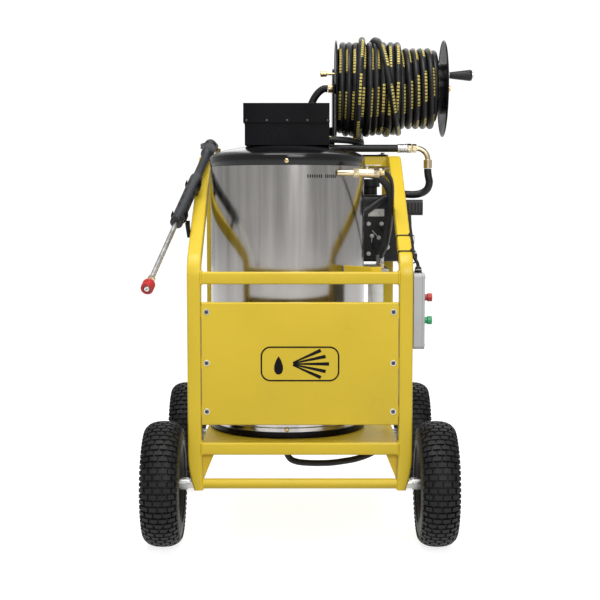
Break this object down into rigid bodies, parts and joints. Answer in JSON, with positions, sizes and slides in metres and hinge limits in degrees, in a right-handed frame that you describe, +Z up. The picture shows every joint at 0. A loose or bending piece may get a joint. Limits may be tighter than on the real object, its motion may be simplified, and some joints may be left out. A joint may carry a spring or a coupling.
{
  "type": "hot-water pressure washer",
  "caption": "Trolley hot-water pressure washer: tubular side hoops on pneumatic wheels, vertical boiler with draft hood, engine and pump behind, hose reel on top, lance at the side.",
  "frame": {"origin": "on the floor, at the middle of the machine's footprint box", "axes": "+Z up, +X to the machine's right seen from the front panel's side, +Y from the front panel to the back"},
  "size_m": [0.921, 1.1182, 1.402],
  "materials": {
    "yellow_paint": "gloss powder coat",
    "black_paint": "satin powder coat",
    "stainless": "vertically brushed",
    "zinc_steel": "zinc plated",
    "dark_steel": "plain",
    "brass": "satin",
    "copper_pipe": "dull",
    "cast_aluminium": "cast",
    "tyre": "matte",
    "hose_rubber": "satin",
    "black_plastic": "satin",
    "charcoal_plastic": "satin",
    "grey_plastic": "semi gloss",
    "red_plastic": "semi gloss",
    "green_plastic": "semi gloss"
  },
  "bodies": {
    "chassis": {"left_side_hoop": "yellow_paint", "right_side_hoop": "yellow_paint", "crossbars": "yellow_paint", "floor_plate": "yellow_paint", "axles": "dark_steel", "front_panel": "yellow_paint", "cover_screws": "zinc_steel", "boiler_shell": "stainless", "boiler_base_ring": "black_paint", "boiler_coil": "copper_pipe", "boiler_lid": "black_paint", "draft_hood": "black_paint", "burner": "black_paint", "diesel_tank": "black_plastic", "engine_shelf": "zinc_steel", "engine_crankcase": "cast_aluminium", "engine_cylinder": "cast_aluminium", "fan_shroud": "black_plastic", "engine_muffler": "black_paint", "air_cleaner": "black_plastic", "pump_crankcase": "cast_aluminium", "pump_manifold": "brass", "control_box": "grey_plastic", "control_lid": "grey_plastic", "button_bezels": "zinc_steel", "reel_stand": "black_paint", "reel_swivel": "brass", "gun_cradles": "black_plastic", "outlet_valve": "brass", "hose_fittings": "brass", "reel_feed_hose": "hose_rubber", "outlet_hose": "hose_rubber", "gun_hose": "hose_rubber", "valve_hoses": "hose_rubber", "drain_hose": "hose_rubber"},
    "front_left_wheel": {"front_left_tyre": "tyre", "front_left_rim": "black_paint"},
    "front_right_wheel": {"front_right_tyre": "tyre", "front_right_rim": "black_paint"},
    "rear_left_wheel": {"rear_left_tyre": "tyre", "rear_left_rim": "black_paint"},
    "rear_right_wheel": {"rear_right_tyre": "tyre", "rear_right_rim": "black_paint"},
    "reel": {"reel_drum": "black_paint", "hose_winding": "hose_rubber", "crank_spindle": "zinc_steel"},
    "reel_grip": {"crank_grip": "black_plastic"},
    "gun": {"gun_body": "charcoal_plastic", "lance_tube": "zinc_steel", "lance_sleeve": "charcoal_plastic"},
    "trigger": {"gun_trigger": "charcoal_plastic"},
    "nozzle": {"spray_nozzle": "red_plastic"},
    "stop_button": {"red_button": "red_plastic"},
    "start_button": {"green_button": "green_plastic"},
    "outlet_lever": {"valve_lever": "zinc_steel"},
    "unloader": {"unloader_knob": "black_plastic"},
    "throttle": {"throttle_lever": "zinc_steel"},
    "starter_grip": {"recoil_handle": "black_plastic"},
    "engine_shaft": {"crankshaft": "dark_steel"},
    "fuel_cap": {"diesel_cap": "red_plastic"}
  },
  "joints": [
    {"name": "front_left_wheel_spin", "type": "hinge", "parent": "chassis", "child": "front_left_wheel", "pos_m": [-0.4075, -0.331, 0.165], "axis": [1, 0, 0], "continuous": true},
    {"name": "rear_left_wheel_spin", "type": "hinge", "parent": "chassis", "child": "rear_left_wheel", "pos_m": [-0.4075, 0.394, 0.165], "axis": [1, 0, 0], "continuous": true},
    {"name": "front_right_wheel_spin", "type": "hinge", "parent": "chassis", "child": "front_right_wheel", "pos_m": [0.3125, -0.331, 0.165], "axis": [1, 0, 0], "continuous": true},
    {"name": "rear_right_wheel_spin", "type": "hinge", "parent": "chassis", "child": "rear_right_wheel", "pos_m": [0.3125, 0.394, 0.165], "axis": [1, 0, 0], "continuous": true},
    {"name": "reel_spin", "type": "hinge", "parent": "chassis", "child": "reel", "pos_m": [0.2225, 0.229, 1.247], "axis": [1, 0, 0], "continuous": true},
    {"name": "crank_grip_spin", "type": "hinge", "parent": "reel", "child": "reel_grip", "pos_m": [0.4235, 0.121, 1.277], "axis": [1, 0, 0], "continuous": true},
    {"name": "gun_lift", "type": "slide", "parent": "chassis", "child": "gun", "axis": [0, 0, 1], "range_m": [0, 0.15]},
    {"name": "trigger_pull", "type": "hinge", "parent": "gun", "child": "trigger", "pos_m": [-0.325, 0.149, 1.074], "axis": [0, 0, -1], "range_deg": [0, 9], "stiffness_Nm_per_rad": 0.4, "springref_deg": -5.73},
    {"name": "nozzle_twist", "type": "hinge", "parent": "gun", "child": "nozzle", "pos_m": [-0.4225, -0.551, 0.695], "axis": [0.149, 0.8571, 0.4932], "range_deg": [0, 120]},
    {"name": "stop_press", "type": "slide", "parent": "chassis", "child": "stop_button", "axis": [-1, 0, 0], "range_m": [0, 0.004], "stiffness_N_per_m": 400, "springref_m": -0.002},
    {"name": "start_press", "type": "slide", "parent": "chassis", "child": "start_button", "axis": [-1, 0, 0], "range_m": [0, 0.004], "stiffness_N_per_m": 400, "springref_m": -0.002},
    {"name": "outlet_lever_turn", "type": "hinge", "parent": "chassis", "child": "outlet_lever", "pos_m": [0.1305, -0.241, 1.003], "axis": [0, 0, 1], "range_deg": [0, 90]},
    {"name": "unloader_turn", "type": "hinge", "parent": "chassis", "child": "unloader", "pos_m": [-0.2375, 0.357, 0.88], "axis": [0, 0, 1], "range_deg": [-180, 180]},
    {"name": "throttle_swing", "type": "hinge", "parent": "chassis", "child": "throttle", "pos_m": [0.2145, 0.164, 0.772], "axis": [0, 1, 0], "range_deg": [-30, 30]},
    {"name": "starter_pull", "type": "slide", "parent": "chassis", "child": "starter_grip", "axis": [1, 0, 0], "range_m": [0, 0.35], "stiffness_N_per_m": 15, "springref_m": -0.1},
    {"name": "engine_shaft_spin", "type": "hinge", "parent": "chassis", "child": "engine_shaft", "pos_m": [0.0425, 0.269, 0.812], "axis": [1, 0, 0], "continuous": true},
    {"name": "fuel_cap_turn", "type": "hinge", "parent": "chassis", "child": "fuel_cap", "pos_m": [-0.2475, 0.254, 0.536], "axis": [0, 0, 1], "range_deg": [0, 90]}
  ]
}
